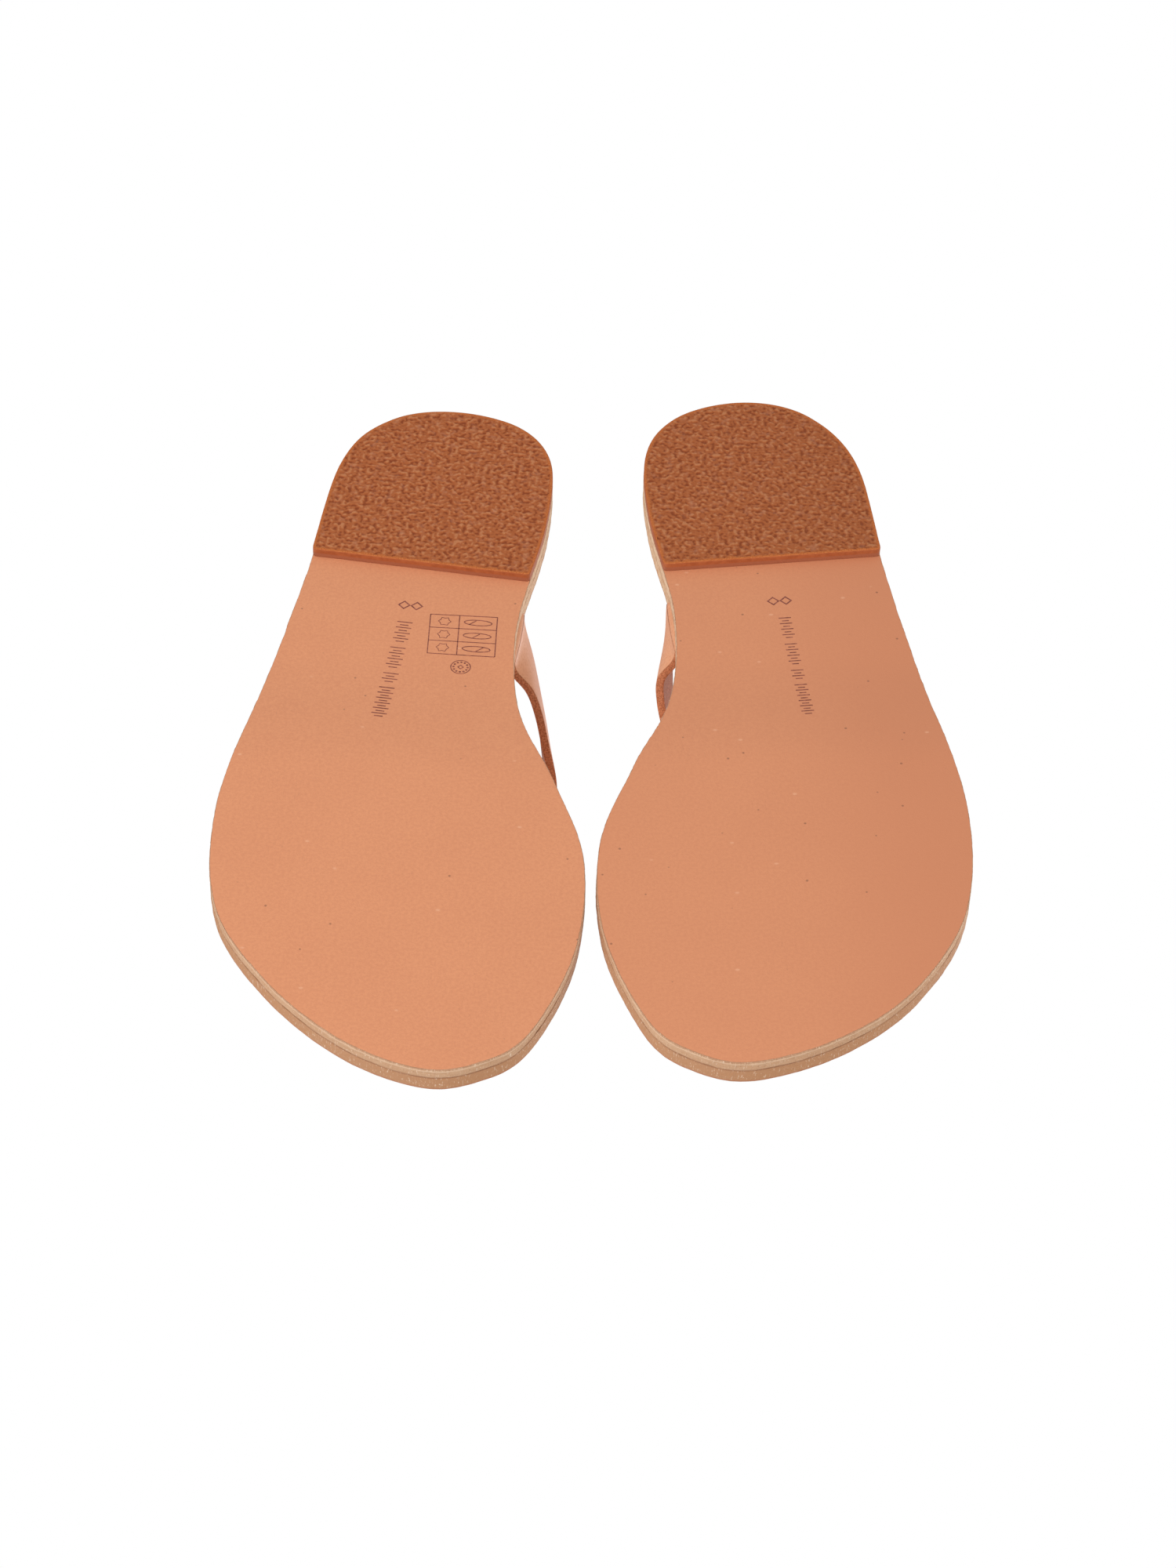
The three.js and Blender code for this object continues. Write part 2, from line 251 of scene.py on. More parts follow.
# ---- curves and loops ----
def spline(points, t, closed=False):
    """A Catmull-Rom curve through the points; t counts points from the first."""
    p = np.asarray(points, float)
    if closed:
        p = np.vstack([p[-1:], p, p[:2]])
    else:
        p = np.vstack([2 * p[0] - p[1], p, 2 * p[-1] - p[-2]])
    t = np.atleast_1d(np.asarray(t, float))
    i = np.clip(np.floor(t).astype(int), 0, len(p) - 4)
    f = (t - i)[:, None]
    a, b, c, d = p[i], p[i + 1], p[i + 2], p[i + 3]
    return b + 0.5 * f * ((c - a) + f * ((2 * a - 5 * b + 4 * c - d) + f * (3 * (b - c) + d - a)))


def evenly(points, spacing, closed):
    """The same line with its points spread evenly along it."""
    p = np.asarray(points, float)
    if closed:
        p = np.vstack([p, p[:1]])
    along = np.concatenate([[0], np.cumsum(np.linalg.norm(np.diff(p, axis=0), axis=1))])
    count = max(2, round(along[-1] / spacing))
    wanted = np.linspace(0, along[-1], count + 1)
    if closed:
        wanted = wanted[:-1]
    return np.stack([np.interp(wanted, along, p[:, k]) for k in range(p.shape[1])], axis=1)


def outward(loop):
    """Unit normals of a closed loop, to the right of its direction."""
    ahead = np.roll(loop, -1, axis=0) - np.roll(loop, 1, axis=0)
    normal = np.stack([ahead[:, 1], -ahead[:, 0]], axis=1)
    return normal / np.linalg.norm(normal, axis=1, keepdims=True)


def inside(points, loop):
    """Which points lie inside a closed loop."""
    result = np.zeros(len(points), bool)
    for (x0, y0), (x1, y1) in zip(loop, np.roll(loop, -1, axis=0)):
        if y0 == y1:
            continue
        crosses = (points[:, 1] < y0) != (points[:, 1] < y1)
        result ^= crosses & (points[:, 0] < x0 + (points[:, 1] - y0) * (x1 - x0) / (y1 - y0))
    return result


def smoothstep(value, low, high):
    t = np.clip((np.asarray(value, float) - low) / (high - low), 0, 1)
    return t * t * (3 - 2 * t)


def wobble(points, per_mm, seed=0.0):
    """Smooth noise in -1..1 at each point, repeatable."""
    p = np.asarray(points, float) * per_mm
    if p.shape[1] == 2:
        p = np.column_stack([p, np.zeros(len(p))])
    return np.array([noise.noise((x, y, z + seed)) for x, y, z in p])


def lift(v):
    """Height of the sole over the floor: pad height at the heel, then a ramp to the floor."""
    return HEEL_LIFT * (1 - smoothstep(v, RAMP_START, RAMP_END))


# ---- the two sandals ----
class Sandal:
    def __init__(self, name, inward_x, flare, seed, trim):
        joint = next(j for j in frame["joints"] if j["name"] == name + "_ball_flex")
        across = -np.array(joint["axis"])
        self.name, self.flare, self.seed, self.trim = name, flare, seed, trim
        self.rear, self.forepart = name + "_rear", name + "_forepart"
        self.hinge = np.array(joint["pos_m"][:2])
        self.inward = inward_x * across[:2]
        self.back = np.array([-across[1], across[0]])

    def tone(self, points):
        """Painted shade for the key light's falloff across the pair: none on the left sandal, more to the
        right one's outer side.
        """
        if self.name == "left":
            return np.zeros(len(points))
        least = 0.35
        return least + (1 - least) * smoothstep(-points[:, 0], -15, 35)

    def world(self, points):
        """Row-frame places, in metres, of (u, v, z) points in millimetres."""
        p = np.asarray(points, float)
        xy = self.hinge + MM * (p[:, :1] * self.inward + (BALL_LINE - p[:, 1:2]) * self.back)
        return np.column_stack([xy, MM * p[:, 2]])

    def bend(self, piece, z):
        """Bakes the piece's placement into its mesh; the ends of the bend zone at height z are worked out,
        but nothing uses them.
        """
        ends = self.world([(0, BALL_LINE - BEND_BEHIND, z), (0, BALL_LINE + BEND_AHEAD, z)])
        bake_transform(piece)


# where each sandal was trimmed a little fuller or closer by hand: (u, v), radius, extra
LEFT_TRIM = [((0, 0), 15, -0.7), ((26, 16), 13, 0.5), ((-25, 14), 13, 0.8), ((-20, 232), 26, -0.8),
             ((52, 205), 26, -0.5)]
RIGHT_TRIM = [((0, 0), 34, 1.2), ((-18, 238), 30, 1.9), ((30, 250), 22, 0.9)]

SANDALS = [
    Sandal("left", inward_x=-1, flare=1.0, seed=11.0, trim=LEFT_TRIM),
    Sandal("right", inward_x=1, flare=-0.4, seed=47.0, trim=RIGHT_TRIM),
]


PATTERN_SHIFT = 100             # keeps the two sandals' grain apart


def piece(sandal, name, points, faces, material, sharp_degrees=50, **attributes):
    """A closed mesh from (u, v, z) points; its rest place is stored for the materials to use."""
    mesh = bpy.data.meshes.new(f"{sandal.name}_{name}")
    mesh.from_pydata(sandal.world(points).tolist(), [], faces)
    place = mesh.attributes.new("place", "FLOAT_VECTOR", "POINT")
    offset = np.array([0, 0, PATTERN_SHIFT * sandal.seed])
    place.data.foreach_set("vector", (np.asarray(points) + offset).astype(np.float32).ravel())
    for key, values in attributes.items():
        attribute = mesh.attributes.new(key, "FLOAT", "POINT")
        attribute.data.foreach_set("value", np.asarray(values, np.float32))
    bm = bmesh.new()
    bm.from_mesh(mesh)
    bmesh.ops.recalc_face_normals(bm, faces=bm.faces)
    bm.to_mesh(mesh)
    bm.free()
    mesh.shade_smooth()
    mesh.set_sharp_from_angle(angle=math.radians(sharp_degrees))
    mesh.materials.append(material)
    obj = bpy.data.objects.new(f"{sandal.name}_{name}", mesh)
    bpy.context.scene.collection.objects.link(obj)
    return obj


# ---- sole layers ----
INSET = 0.75                    # how far in from a loop the lattice stays, in spacings
ROUND_STEPS = 4                 # steps round each rounded edge
GLUE_GAP = 0.03                 # each glued layer stays this far off the plane they share
PAD_TOP = PAD_HEIGHT + 0.27     # just under the outsole
EDGE_SPACING = 0.7              # between the points round a sole's edge


def lattice(loops, spacing):
    """Evenly spread points between the loops, a little in from them."""
    outer = loops[0] - INSET * spacing * outward(loops[0])
    low, high = outer.min(axis=0), outer.max(axis=0)
    rows = []
    for k, v in enumerate(np.arange(low[1], high[1], spacing * math.sin(math.pi / 3))):
        u = np.arange(low[0] + (k % 2) * spacing / 2, high[0], spacing)
        rows.append(np.column_stack([u, np.full(len(u), v)]))
    points = np.vstack(rows)
    keep = inside(points, outer)
    for hole in loops[1:]:
        keep &= ~inside(points, hole - INSET * spacing * outward(hole))
    return points[keep]


def fill(loops, spacing):
    """Triangles between closed loops: the inner points, and faces that count loop points first."""
    inner = lattice(loops, spacing)
    border = np.vstack(loops)
    edges, start = [], 0
    for loop in loops:
        n = len(loop)
        edges += [(start + i, start + (i + 1) % n) for i in range(n)]
        start += n
    points = [Vector(p) for p in np.vstack([border, inner]).tolist()]
    out = delaunay_2d_cdt(points, edges, [], 0, 1e-7)
    if len(out[0]) != len(points):
        raise ValueError("a loop crosses itself")
    faces = np.array(out[2])
    centres = np.array([tuple(p) for p in out[0]])[faces].mean(axis=1)
    keep = inside(centres, loops[0])
    for hole in loops[1:]:
        keep &= ~inside(centres, hole)
    return inner, faces[keep]


def edge_rows(rounding, wall_rows, support):
    """An edge's rows from the lower face to the upper one: (outward offset, height share, height)."""
    turn = [k / ROUND_STEPS * math.pi / 2 for k in range(ROUND_STEPS + 1)]
    low, high = rounding
    rows = [(-low - support, 0, 0)]
    rows += [(low * (math.sin(a) - 1), 0, low * (1 - math.cos(a))) for a in turn]
    for k in range(1, wall_rows):
        share = k / wall_rows
        rows.append((0, share, low * (1 - share) - high * share))
    rows += [(high * (math.cos(a) - 1), 1, -high * (1 - math.sin(a))) for a in turn]
    rows.append((-high - support, 1, 0))
    return rows


def layer(sandal, name, loops, faces_z, material, rounding, wall_rows, spacing, fray=None, relief=None,
          support=0.6, **kwargs):
    """A flat layer with rounded, slightly uneven edges. faces_z gives the lower and upper height
    at a place, fray the edge's outward unevenness, and relief moves the lower face."""
    rows = edge_rows(rounding, wall_rows, support)
    widest = max(rounding)
    points, band, wall, faces = [], [], [], []
    count = sum(len(loop) for loop in loops)
    rings = []
    for offset, share, rise in rows:
        ring = np.vstack([loop + offset * outward(loop) for loop in loops])
        low, high = faces_z(ring)
        z = low * (1 - share) + high * share + rise
        if fray is not None:
            depth = 1 - abs(offset) / (widest + support)
            normals = np.vstack([outward(loop) for loop in loops])
            ring = ring + normals * (fray(ring, z) * max(0, depth))[:, None]
        rings.append(ring)
        points.append(np.column_stack([ring, z]))
        band.append(np.full(count, share))
        wall.append(np.full(count, max(0, 1 + offset / widest)))
    starts = np.cumsum([0] + [len(loop) for loop in loops])
    for r in range(len(rows) - 1):
        for start, end in zip(starts[:-1], starts[1:]):
            for i in range(start, end):
                j = i + 1 if i + 1 < end else start
                below, above = r * count, (r + 1) * count
                faces.append((below + i, below + j, above + j, above + i))
    total = len(rows) * count
    for ring_at, which, gap in ((0, 0, spacing[0]), (len(rows) - 1, 1, spacing[1])):
        ring = rings[ring_at]
        parts = [ring[a:b] for a, b in zip(starts[:-1], starts[1:])]
        inner, triangles = fill(parts, gap)
        z = faces_z(inner)[which]
        points.append(np.column_stack([inner, z]))
        band.append(np.full(len(inner), which))
        wall.append(np.zeros(len(inner)))
        moved = np.where(triangles < count, triangles + ring_at * count, triangles - count + total)
        faces += moved.tolist()
        total += len(inner)
    points = np.vstack(points)
    band, wall = np.concatenate(band), np.concatenate(wall)
    extra = {}
    if relief is not None:
        points, extra = relief(points, band, wall)
    return piece(sandal, name, points, faces, material, band=band, wall=wall, **extra, **kwargs)


def pattern(sandal):
    """The fine outline that a sandal's sole layers and heel pad are all cut to."""
    loop = spline(OUTLINE, np.arange(0, len(OUTLINE), 1 / 60), closed=True)
    extra = np.zeros(len(loop))
    for place, radius, amount in sandal.trim:
        extra += amount * np.exp(-(np.linalg.norm(loop - place, axis=1) / radius) ** 2)
    return loop + outward(loop) * extra[:, None]


def outline(sandal, spacing, seed):
    """The cut edge of a sole layer: the pattern's outline with a hand-cut unevenness."""
    loop = evenly(pattern(sandal), spacing, closed=True)
    return loop + outward(loop) * (0.12 * wobble(loop, 1 / 16, sandal.seed + seed))[:, None]


def sole_relief(sandal):
    """A faint unevenness of the lower face, and the painted falloff shade."""
    def relief(points, band, wall):
        low = (band < 0.5) * (1 - wall)
        points = points.copy()
        points[:, 2] += 0.05 * low * wobble(points[:, :2], 1 / 22)
        # the stored attribute is painted shade for the key light's falloff
        return points, {"tone": sandal.tone(points)}
    return relief


def cut_edge(sandal, along, across, amount):
    """Fibres standing out of a cut leather edge: long along it, short across it."""
    def fray(ring, z):
        streaks = np.column_stack([ring * along, z * across])
        fine = np.column_stack([ring * 1.4, z * 3.0])
        return amount * (wobble(streaks, 1, sandal.seed) + 0.6 * wobble(fine, 1, sandal.seed + 5))
    return fray


def build_outsole(sandal, material):
    loops = [outline(sandal, EDGE_SPACING, 0)]
    made = layer(
        sandal, "outsole", loops,
        lambda ring: (OUTSOLE_LOW + lift(ring[:, 1]), FOOTBED_LOW - GLUE_GAP + lift(ring[:, 1])),
        material, rounding=(0.3, 0.12), wall_rows=10, spacing=(2.4, 5.0),
        fray=cut_edge(sandal, 0.3, 2.4, 0.13), relief=sole_relief(sandal))
    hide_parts(sandal.name + "_outsole_rear", sandal.name + "_outsole_forepart")
    sandal.bend(made, OUTSOLE_HIGH)


SLOT_CLEARANCE = 0.35


def toe_slot():
    """The slot that the toe post goes down through, clockwise."""
    half_u = LOOP_WIDTH / 2 + SLOT_CLEARANCE
    half_v = LOOP_LEATHER + SLOT_CLEARANCE
    corner = 1.0
    turns = np.linspace(0, 2 * math.pi, 32, endpoint=False)[::-1]
    loop = []
    for a in turns:
        u = math.copysign(half_u - corner, math.cos(a)) + corner * math.cos(a)
        v = math.copysign(half_v - corner, math.sin(a)) + corner * math.sin(a)
        loop.append((POST_INWARD + u, LOOP_MIDDLE + v))
    return evenly(loop, 0.45, closed=True)


def build_footbed(sandal, material):
    loops = [outline(sandal, EDGE_SPACING, 3), toe_slot()]

    def heights(ring):
        away = np.hypot((ring[:, 0] - POST_INWARD) / 1.9, ring[:, 1] - LOOP_MIDDLE)
        dimple = 0.9 * np.exp(-(away / 3.2) ** 2)
        return FOOTBED_LOW + GLUE_GAP + lift(ring[:, 1]), FOOTBED_HIGH + lift(ring[:, 1]) - dimple

    made = layer(
        sandal, "footbed", loops, heights, material, rounding=(0.12, 0.7), wall_rows=10,
        spacing=(5.0, 1.7), fray=cut_edge(sandal, 0.35, 1.6, 0.09))
    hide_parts(sandal.name + "_footbed_rear", sandal.name + "_footbed_forepart")
    sandal.bend(made, FOOTBED_HIGH)


# ---- heel pad ----
CREPE_DEPTH = 0.34
CORNER_REACH = 1.6              # the pad's two front corners are eased this far round
CORNER_PASSES = 6


def build_heel_pad(sandal, material):
    around = pattern(sandal)
    front = PAD_FRONT_MIDDLE + PAD_FRONT_SLOPE * around[:, 0]
    behind = around[:, 1] < front
    first = int(np.argmax(~behind))
    last = len(behind) - int(np.argmax(~behind[::-1])) - 1
    curved = np.vstack([around[last + 1:], around[:first]])
    ends = []
    for side in (curved[-1], curved[0]):
        ends.append([side[0], PAD_FRONT_MIDDLE + PAD_FRONT_SLOPE * side[0]])
    loop = evenly(np.vstack([curved, ends]), 0.5, closed=True)
    for _ in range(CORNER_PASSES):
        near_corner = np.min([np.linalg.norm(loop - end, axis=1) for end in ends], axis=0) < CORNER_REACH
        eased = 0.5 * loop + 0.25 * (np.roll(loop, 1, axis=0) + np.roll(loop, -1, axis=0))
        loop = np.where(near_corner[:, None], eased, loop)
    loop = loop + outward(loop) * (0.06 * wobble(loop, 1 / 9, sandal.seed + 9))[:, None]

    border = KDTree(len(loop))
    for i, (u, v) in enumerate(loop):
        border.insert((u, v, 0), i)
    border.balance()

    def reach(flat):
        return np.array([border.find((u, v, 0))[2] for u, v in flat])

    # the crepe's grain height moves the lower face, and is also stored to paint shade into the pits and
    # highlights onto the peaks
    def crepe(points, band, wall):
        flat = points[:, :2]
        seed = sandal.seed
        warp = np.column_stack([wobble(flat, 0.8, seed + 1), wobble(flat, 0.8, seed + 2)])
        warped = flat + 0.4 * warp
        worms = 1 - np.clip(np.abs(wobble(warped, 0.8, seed + 3)) / 0.4, 0, 1)
        grains = 0.5 + 1.3 * wobble(warped, 1.0, seed + 4)
        grain = np.clip(0.36 * worms + 0.72 * grains, 0, 1)
        to_front = PAD_FRONT_MIDDLE + PAD_FRONT_SLOPE * flat[:, 0] - flat[:, 1]
        ragged = to_front + 0.8 * wobble(flat, 1.1, seed + 6)
        rough = smoothstep(ragged, 0.85, 1.15) * (1 - wall) * (band < 0.5)
        side_rim = smoothstep(reach(flat) + 0.6 * wobble(flat, 0.9, seed + 8), 0.7, 0.95)
        rough = np.minimum(rough, side_rim)
        points = points.copy()
        points[:, 2] += CREPE_DEPTH * (1 - grain) * rough
        # the last entry is the same painted falloff shade as on the outsole
        return points, {"grain": np.where(band < 0.5, grain * rough + (1 - rough) * 0.55, 0.5),
                        "rough": rough, "tone": sandal.tone(points)}

    made = layer(
        sandal, "heel_pad", [loop],
        lambda ring: (np.zeros(len(ring)), np.full(len(ring), PAD_TOP)),
        material, rounding=(0.35, 0.15), wall_rows=5, spacing=(0.38, 4.0),
        fray=cut_edge(sandal, 0.5, 0.8, 0.03), relief=crepe, support=0.2, sharp_degrees=85)
    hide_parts(sandal.name + "_heel_pad")
    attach(made, sandal.rear)


# ---- strap ----
def unit(vectors):
    return vectors / np.linalg.norm(vectors, axis=1, keepdims=True)


def arm_edges(sandal, arm, t):
    """Points of an arm's rear and front edge at stations t."""
    edges = []
    for side in ("rear", "front"):
        stations = np.array([(u + sandal.flare * bow, v, z) for u, v, z, bow in arm[side]])
        edges.append(spline(stations, t))
    return edges


CROTCH = 9.05                   # the station where the two arms run together
ARM_START = 0.42                # the station where an arm stands upright beside the footbed
ARM_ROWS, TONGUE_ROWS = 118, 26
MIDDLE_ROW = 60                 # about halfway along an arm
FOOT_MIDDLE = (0, 130, 15)      # a point under the strap
TUCK = 1.5                      # bend radius of the strap's ends under the footbed
# the end's rows: how far in under the footbed, and how far turned, in degrees
TUCK_TURN = [(3.5, 90), (1.5, 90), (0, 90), (0, 72), (0, 54), (0, 36), (0, 18), (0, 0)]


def strap_rows(sandal, arm, out):
    """The middle surface of one arm, from its tucked end to the tongue: inner edge, outer edge and
    outward normal for each row, and whether the row is joined to the other arm's."""
    last = len(arm["rear"]) - 1
    arm_stations = np.linspace(ARM_START, CROTCH, ARM_ROWS)
    t = np.concatenate([arm_stations, np.linspace(CROTCH, last, TONGUE_ROWS)[1:]])
    rear, front = arm_edges(sandal, arm, t)
    joined = t >= CROTCH
    other = OUTER_ARM if arm is INNER_ARM else INNER_ARM
    other_rear, _ = arm_edges(sandal, other, t)
    share = smoothstep(t, CROTCH - 0.4, CROTCH)[:, None]
    middle = 0.5 * (rear + other_rear)
    pull = smoothstep(t, CROTCH, CROTCH + 1.0)[:, None]
    centre = middle * (1 - pull) + pull * np.column_stack([np.full(len(t), POST_INWARD), middle[:, 1:]])
    seam = rear * (1 - share) + centre * share
    ahead = unit(np.gradient(0.5 * (rear + front), axis=0))
    normal = unit(np.cross(ahead, front - seam))
    if np.dot(normal[MIDDLE_ROW], rear[MIDDLE_ROW] - FOOT_MIDDLE) < 0:
        normal = -normal
    up = np.array([0, 0, 1.0])
    flat = smoothstep(t, CROTCH, CROTCH + 0.8)[:, None]
    normal = unit(normal * (1 - flat) + up * flat)
    # the end turns under the footbed
    sideways = np.array([out, 0, 0.0])
    tucked = []
    bed = FOOTBED_LOW + HEEL_LIFT + STRAP / 2
    for run, angle in TUCK_TURN:
        a = math.radians(angle)
        shift = sideways * (TUCK * (math.cos(a) - 1) - run)
        z = bed + TUCK * (1 - math.sin(a))
        n = sideways * math.cos(a) - up * math.sin(a)
        row = []
        for edge in (seam[0], front[0]):
            point = edge + shift
            point[2] = z
            row.append(point)
        tucked.append((row[0], row[1], n))
    seam = np.vstack([[r[0] for r in tucked], seam])
    front = np.vstack([[r[1] for r in tucked], front])
    normal = np.vstack([[r[2] for r in tucked], normal])
    joined = np.concatenate([np.zeros(len(tucked), bool), joined])
    return seam, front, unit(normal), joined


GRAIN_SIDE, CUT_EDGE, FLESH_SIDE = 1.0, 0.5, 0.0        # values of the "side" attribute
CROWN = 0.35                    # how far an arm's middle stands proud
ACROSS = 14                     # columns across an arm
EDGE_STEPS = 6                  # steps round a cut edge
EDGE_ROUNDING = 0.55


def edge_profile():
    """(how far in from the edge, height off the middle) round a cut edge, from top to underside."""
    half = STRAP / 2
    turn = np.linspace(0, math.pi / 2, EDGE_STEPS // 2 + 1)
    top = [(EDGE_ROUNDING * (1 - math.sin(a)), half - EDGE_ROUNDING * (1 - math.cos(a))) for a in turn]
    return top + [(inset, -rise) for inset, rise in reversed(top)]


FIRST_FIBRE = 12                # the first row that stands clear of the footbed


def fibres(roots, points, side, faces):
    """Short loose fibres along the flesh side of the cut edges, each a thin closed spike."""
    draw = random.Random(5)
    for root, out, down in roots:
        along = np.cross(out, down)
        length = 0.25 + 0.75 * draw.random() ** 3
        lean = draw.uniform(-0.7, 0.7)
        start = root + along * draw.uniform(-0.6, 0.6)
        tip = start + length * (0.75 * out + 0.65 * down * draw.random() + lean * along)
        first = len(points)
        for turn in (0.0, 2.1, 4.2):
            points.append(start - 0.15 * out + 0.07 * (math.cos(turn) * along + math.sin(turn) * down))
        points.append(tip)
        side += [CUT_EDGE] * 4
        faces += [(first, first + 1, first + 2), (first, first + 1, first + 3),
                  (first + 1, first + 2, first + 3), (first + 2, first, first + 3)]


def build_strap(sandal, material):
    """Both arms and the tongue in one closed mesh."""
    edge = edge_profile()
    half = STRAP / 2
    points, side, faces = [], [], []
    face_points, edge_points = ACROSS + 1, len(edge) - 2
    ring_points = 2 * (face_points + edge_points)
    starts = []
    fibre_roots = []
    for arm, out in ((INNER_ARM, 1), (OUTER_ARM, -1)):
        base = len(points)
        starts.append(base)
        seam, front, normal, joined = strap_rows(sandal, arm, out)
        width = np.linalg.norm(front - seam, axis=1)
        across = unit(front - seam)
        for i in range(len(seam)):
            near = 0.0 if joined[i] else EDGE_ROUNDING
            xs = np.linspace(near, width[i] - EDGE_ROUNDING, face_points)
            crown = CROWN * (1 - (2 * xs / width[i] - 1) ** 2) * (0 if joined[i] else 1)
            ring = [(x, half + c, GRAIN_SIDE) for x, c in zip(xs, crown)]
            ring += [(width[i] - inset, rise, CUT_EDGE) for inset, rise in edge[1:-1]]
            ring += [(x, c - half, FLESH_SIDE) for x, c in zip(xs[::-1], crown[::-1])]
            ring += [(0.0 if joined[i] else inset, -rise, CUT_EDGE) for inset, rise in edge[1:-1]]
            for x, y, s in ring:
                points.append(seam[i] + across[i] * x + normal[i] * y)
                side.append(s)
        rows = len(seam)
        for i in range(FIRST_FIBRE, rows - 1):
            fibre_roots.append((front[i] - normal[i] * (half - EDGE_ROUNDING), across[i], -normal[i]))
            if not joined[i]:
                fibre_roots.append((seam[i] - normal[i] * (half - EDGE_ROUNDING), -across[i], -normal[i]))
        for i in range(rows - 1):
            for k in range(ring_points):
                if joined[i] and k >= ring_points - edge_points - 1:
                    continue
                a = base + i * ring_points + k
                b = base + i * ring_points + (k + 1) % ring_points
                faces.append((a, b, b + ring_points, a + ring_points))
        faces.append(tuple(base + k for k in range(ring_points)))
        tip = base + (rows - 1) * ring_points
        for k in range(ACROSS):
            under = 2 * face_points + edge_points - 1 - k
            faces.append((tip + k, tip + k + 1, tip + under - 1, tip + under))
        faces.append(tuple(tip + ACROSS + k for k in range(len(edge))))
    fibres(fibre_roots, points, side, faces)
    points = np.array(points)
    # the two halves share their seam from the crotch on
    start_a, start_b = starts
    seam_index = [0] + list(range(ring_points - edge_points - 1, ring_points))
    replace = {}
    for i in range(rows):
        if not joined[i]:
            continue
        for k in seam_index:
            a = start_a + i * ring_points + k
            b = start_b + i * ring_points + k
            points[a] = 0.5 * (points[a] + points[b])
            replace[b] = a
    faces = [tuple(replace.get(k, k) for k in face) for face in faces]
    used = sorted({k for face in faces for k in face})
    renumber = {k: n for n, k in enumerate(used)}
    faces = [tuple(renumber[k] for k in face) for face in faces]
    points, side = points[used], np.array(side)[used]
    made = piece(sandal, "strap", points, faces, material, side=side)
    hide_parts(*(f"{sandal.name}_strap_{part}" for part in
                        ("inner_arm", "outer_arm", "inner_bridge", "outer_bridge", "front")))
    sandal.bend(made, APEX_HEIGHT)


# ---- toe loop ----
def build_toe_loop(sandal, material):
    """A strip folded over the tongue, its two legs laid together and let down into the footbed."""
    half = LOOP_LEATHER / 2
    top = APEX_HEIGHT + STRAP / 2 + 0.5 + half
    back = -LOOP_HALF + half
    leg = [(-half - 0.02, 2.9), (-half - 0.02, 6), (-half - 0.02, 9), (-half - 0.1, 11.2), (-2.2, 13.0),
           (-4.6, 15.2), (-6.7, 17.2), (back, 19.0), (back - 0.05, 20.6), (back, top - 1.6),
           (back + 0.45, top - 0.45), (back + 1.6, top), (back + 4.2, top + 0.12), (0, top + 0.15)]
    path = leg + [(-v, z) for v, z in leg[-2::-1]]
    path = evenly(spline(path, np.arange(0, len(path) - 1 + 1e-6, 0.05)), 0.55, closed=False)
    ahead = unit(np.gradient(path, axis=0))
    normal = np.column_stack([-ahead[:, 1], ahead[:, 0]])
    corner, columns = 0.4, 10
    side_x = LOOP_WIDTH / 2
    quarter = []
    for a in np.linspace(0, math.pi / 2, 4):
        quarter.append((side_x - corner * (1 - math.sin(a)), half - corner * (1 - math.cos(a))))
    flat = [(x, half) for x in np.linspace(corner - side_x, side_x - corner, columns)[1:-1]]
    quarter_left = [(-x, y) for x, y in reversed(quarter)]
    upper = quarter_left + flat + quarter
    section = upper + [(x, -y) for x, y in reversed(upper)]
    sides = [CUT_EDGE if abs(y) < half - 0.05 else GRAIN_SIDE if y > 0 else FLESH_SIDE for _, y in section]
    points, side, faces = [], [], []
    n = len(section)
    for (v, z), (out_v, out_z) in zip(path, normal):
        for (x, y), s in zip(section, sides):
            points.append((POST_INWARD + x, LOOP_MIDDLE + v + out_v * y, z + out_z * y))
            side.append(s)
    for i in range(len(path) - 1):
        for k in range(n):
            a, b = i * n + k, i * n + (k + 1) % n
            faces.append((a, b, b + n, a + n))
    faces += [tuple(range(n)), tuple(range((len(path) - 1) * n, len(path) * n))]
    made = piece(sandal, "toe_loop", np.array(points), faces, material, side=side)
    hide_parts(sandal.name + "_toe_loop")
    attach(made, sandal.forepart)


# ---- generic stamps on the sole ----
PROUD, SUNK = 0.03, 0.12        # a mark's lines stand this far out of the sole and reach into it
BAR_GROUPS = (4, 4, 2, 6)       # pairs of a long and a short bar in each group of the row
GROUP_GAP, END_TRIM = 0.7, 0.4  # extra room between groups, and less at the row's end, in pairs
BAR_SHIFT, SHORT_BAR = 0.6, 0.55        # from a pair's middle, and as a share of a long bar
FRAME_LINE, FINE_LINE, SHAPE_LINE, BAR_LINE, BOLD_LINE = 0.28, 0.24, 0.3, 0.38, 0.55
STAR, STAR_NOTCH = 1.75, 0.74
SLIM_LOOP = (3.8, 1.1)


def stroke(points, faces, line, width, closed=False):
    """Adds a thin flat line along the sole's lower face."""
    line = np.asarray(line, float)
    if closed:
        ahead = np.roll(line, -1, axis=0) - np.roll(line, 1, axis=0)
    else:
        ahead = np.gradient(line, axis=0)
    ahead = unit(ahead)
    out = np.column_stack([ahead[:, 1], -ahead[:, 0]]) * width / 2
    start, n = len(points), len(line)
    for p, o in zip(line, out):
        for side, sink in ((1, -PROUD), (-1, -PROUD), (-1, SUNK), (1, SUNK)):
            q = p + side * o
            points.append((q[0], q[1], OUTSOLE_LOW + lift(q[1]) + sink))
    for i in range(n if closed else n - 1):
        a, b = start + 4 * i, start + 4 * ((i + 1) % n)
        faces.extend((a + k, a + (k + 1) % 4, b + (k + 1) % 4, b + k) for k in range(4))
    if not closed:
        end = start + 4 * (n - 1)
        faces.append((start, start + 1, start + 2, start + 3))
        faces.append((end, end + 1, end + 2, end + 3))


def circle(centre, radius, steps):
    a = np.linspace(0, 2 * math.pi, steps, endpoint=False)
    return np.column_stack([centre[0] + radius * np.cos(a), centre[1] + radius * np.sin(a)])


